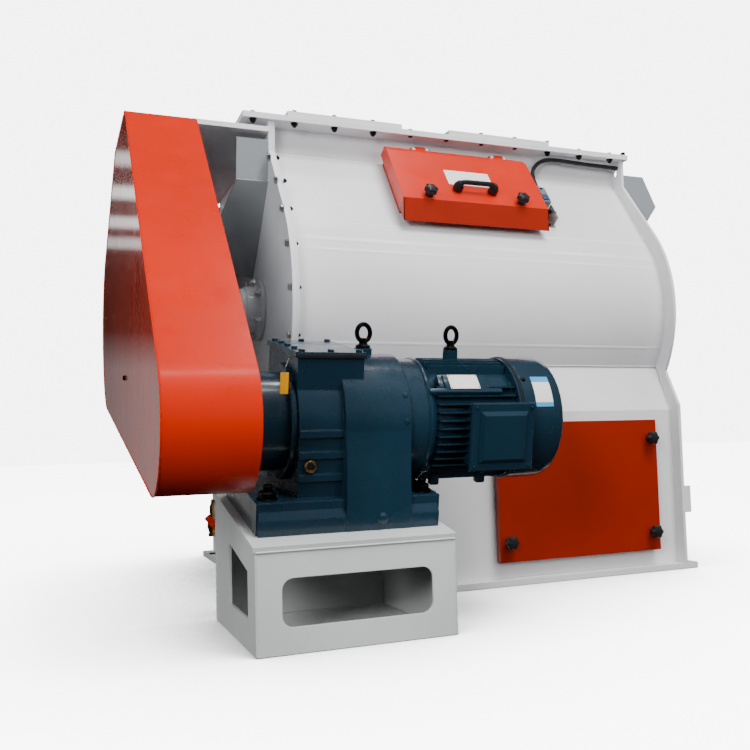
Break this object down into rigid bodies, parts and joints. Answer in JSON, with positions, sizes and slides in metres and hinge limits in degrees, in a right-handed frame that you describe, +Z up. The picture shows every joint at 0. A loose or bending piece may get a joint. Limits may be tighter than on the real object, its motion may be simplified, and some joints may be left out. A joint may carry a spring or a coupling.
{
  "type": "double shaft paddle mixer",
  "caption": "Horizontal double shaft paddle mixer with chain drive under a guard, gear motor on a stand, inspection doors and bottom gates.",
  "frame": {"origin": "centre of the base flange on the floor", "axes": "+X along the two shafts with the chain drive at -X, +Y across the machine with the gear motor at -Y, +Z up"},
  "size_m": [2.092, 2.196, 1.627],
  "materials": {
    "vessel_paint": "satin light grey enamel",
    "orange_paint": "gloss orange enamel",
    "guard_back_paint": "gloss dark orange enamel",
    "stand_paint": "satin grey enamel",
    "drive_paint": "gloss dark blue enamel",
    "steel": "turned",
    "wear_steel": "rolled wear plate",
    "bearing_iron": "cast, painted dark",
    "aluminium": "anodised",
    "chrome_rod": "polished",
    "brass": "machined",
    "black_plastic": "moulded",
    "cable_rubber": "matt"
  },
  "bodies": {
    "vessel": {"end_plate_left": "vessel_paint", "end_plate_right": "vessel_paint", "rim_flange_left": "vessel_paint", "trough_shell_front": "vessel_paint", "trough_shell_rear": "vessel_paint", "trough_ridge": "vessel_paint", "skirt_front": "vessel_paint", "skirt_rear": "vessel_paint", "base_flange": "vessel_paint", "top_flange": "vessel_paint", "feed_inlet_flange": "vessel_paint", "inspection_cover": "vessel_paint", "guard_bridge_and_stays": "vessel_paint", "gussets": "vessel_paint", "bearings": "bearing_iron", "chain_guard": "orange_paint", "guard_back_plate": "guard_back_paint", "drive_chain": "steel", "idler_bracket": "stand_paint", "motor_stand": "stand_paint", "reducer_housing": "drive_paint", "output_hub": "drive_paint", "motor_adapter": "drive_paint", "motor_frame": "drive_paint", "fan_cowl": "drive_paint", "terminal_box": "drive_paint", "lifting_eyebolts": "steel", "reducer_plugs_and_bolts": "brass", "upper_door_frame": "vessel_paint", "upper_door_hinge": "vessel_paint", "lower_door_frame": "vessel_paint", "door_switch": "black_plastic", "switch_cable": "cable_rubber", "ball_valve": "brass"},
    "rotor_front": {"rotor_shaft_front": "steel", "paddle_arms_front": "steel", "paddles_front": "wear_steel", "rotor_sprocket_front": "steel"},
    "rotor_rear": {"rotor_shaft_rear": "steel", "paddle_arms_rear": "steel", "paddles_rear": "wear_steel", "rotor_sprocket_rear": "steel"},
    "drive_shaft": {"output_shaft": "steel", "drive_sprocket": "steel"},
    "idler": {"idler_sprocket": "steel"},
    "fan": {"motor_fan": "black_plastic"},
    "gate_leaf_front": {"gate_front": "vessel_paint"},
    "gate_leaf_rear": {"gate_rear": "vessel_paint"},
    "cylinder_barrel": {"gate_cylinder_barrel": "aluminium"},
    "cylinder_rod": {"gate_cylinder_rod": "chrome_rod"},
    "upper_hatch": {"upper_door": "orange_paint", "upper_door_handle": "black_plastic"},
    "knob_ul": {"upper_knob_left": "black_plastic"},
    "knob_ur": {"upper_knob_right": "black_plastic"},
    "lower_hatch": {"lower_door": "orange_paint"},
    "knob_tl": {"lower_knob_tl": "black_plastic"},
    "knob_tr": {"lower_knob_tr": "black_plastic"},
    "knob_bl": {"lower_knob_bl": "black_plastic"},
    "knob_br": {"lower_knob_br": "black_plastic"},
    "valve_handle": {"valve_lever": "orange_paint"}
  },
  "joints": [
    {"name": "rotor_front_spin", "type": "hinge", "parent": "vessel", "child": "rotor_front", "pos_m": [0, -0.286, 0.965], "axis": [1, 0, 0], "continuous": true, "deforming": ["drive_chain"]},
    {"name": "rotor_rear_spin", "type": "hinge", "parent": "vessel", "child": "rotor_rear", "pos_m": [0, 0.286, 0.965], "axis": [1, 0, 0], "continuous": true},
    {"name": "output_spin", "type": "hinge", "parent": "vessel", "child": "drive_shaft", "pos_m": [-1, -1.10013, 0.55093], "axis": [1, 0, 0], "continuous": true},
    {"name": "idler_spin", "type": "hinge", "parent": "vessel", "child": "idler", "pos_m": [-1.09, -0.21, 1.31362], "axis": [1, 0, 0], "continuous": true},
    {"name": "fan_spin", "type": "hinge", "parent": "vessel", "child": "fan", "pos_m": [-0.2, -1.10013, 0.55093], "axis": [1, 0, 0], "continuous": true},
    {"name": "gate_front_swing", "type": "hinge", "parent": "vessel", "child": "gate_leaf_front", "pos_m": [0, -0.50901, 0.59385], "axis": [1, 0, 0], "range_deg": [-78, 0]},
    {"name": "gate_rear_swing", "type": "hinge", "parent": "vessel", "child": "gate_leaf_rear", "pos_m": [0, 0.50901, 0.59385], "axis": [1, 0, 0], "range_deg": [0, 78]},
    {"name": "cylinder_rod_pin", "type": "hinge", "parent": "gate_leaf_front", "child": "cylinder_rod", "pos_m": [-0.849, -0.42871, 0.47917], "axis": [1, 0, 0], "range_deg": [0, 78]},
    {"name": "cylinder_barrel_pin", "type": "hinge", "parent": "gate_leaf_rear", "child": "cylinder_barrel", "pos_m": [-0.849, 0.42871, 0.47917], "axis": [1, 0, 0], "range_deg": [-78, 0]},
    {"name": "upper_door_swing", "type": "hinge", "parent": "vessel", "child": "upper_hatch", "pos_m": [0, -0.44632, 1.54828], "axis": [1, 0, 0], "range_deg": [-85, 0]},
    {"name": "upper_knob_left_turn", "type": "hinge", "parent": "upper_hatch", "child": "knob_ul", "pos_m": [-0.205, -0.62228, 1.3323], "axis": [0, -0.8145, 0.5802], "continuous": true},
    {"name": "upper_knob_right_turn", "type": "hinge", "parent": "upper_hatch", "child": "knob_ur", "pos_m": [0.155, -0.62228, 1.3323], "axis": [0, -0.8145, 0.5802], "continuous": true},
    {"name": "lower_door_lift_off", "type": "slide", "parent": "vessel", "child": "lower_hatch", "axis": [0, -1, 0], "range_m": [0, 0.25]},
    {"name": "lower_knob_tl_turn", "type": "hinge", "parent": "lower_hatch", "child": "knob_tl", "pos_m": [-0.002, -0.735, 0.475], "axis": [0, -1, 0], "continuous": true},
    {"name": "lower_knob_tr_turn", "type": "hinge", "parent": "lower_hatch", "child": "knob_tr", "pos_m": [0.583, -0.735, 0.475], "axis": [0, -1, 0], "continuous": true},
    {"name": "lower_knob_bl_turn", "type": "hinge", "parent": "lower_hatch", "child": "knob_bl", "pos_m": [-0.002, -0.735, 0.142], "axis": [0, -1, 0], "continuous": true},
    {"name": "lower_knob_br_turn", "type": "hinge", "parent": "lower_hatch", "child": "knob_br", "pos_m": [0.583, -0.735, 0.142], "axis": [0, -1, 0], "continuous": true},
    {"name": "valve_turn", "type": "hinge", "parent": "vessel", "child": "valve_handle", "pos_m": [-0.795, 0.34, 0.172], "axis": [0, 1, 0], "range_deg": [-45, 45]}
  ],
  "couplings": [
    {"joint": "rotor_rear_spin", "follows": "rotor_front_spin", "ratio": -1},
    {"joint": "output_spin", "follows": "rotor_front_spin", "ratio": -1.7692},
    {"joint": "idler_spin", "follows": "rotor_front_spin", "ratio": -1.5333},
    {"joint": "fan_spin", "follows": "rotor_front_spin", "ratio": -30.608},
    {"joint": "gate_rear_swing", "follows": "gate_front_swing", "ratio": -1},
    {"joint": "cylinder_rod_pin", "follows": "gate_front_swing", "ratio": -1},
    {"joint": "cylinder_barrel_pin", "follows": "gate_front_swing", "ratio": 1}
  ]
}
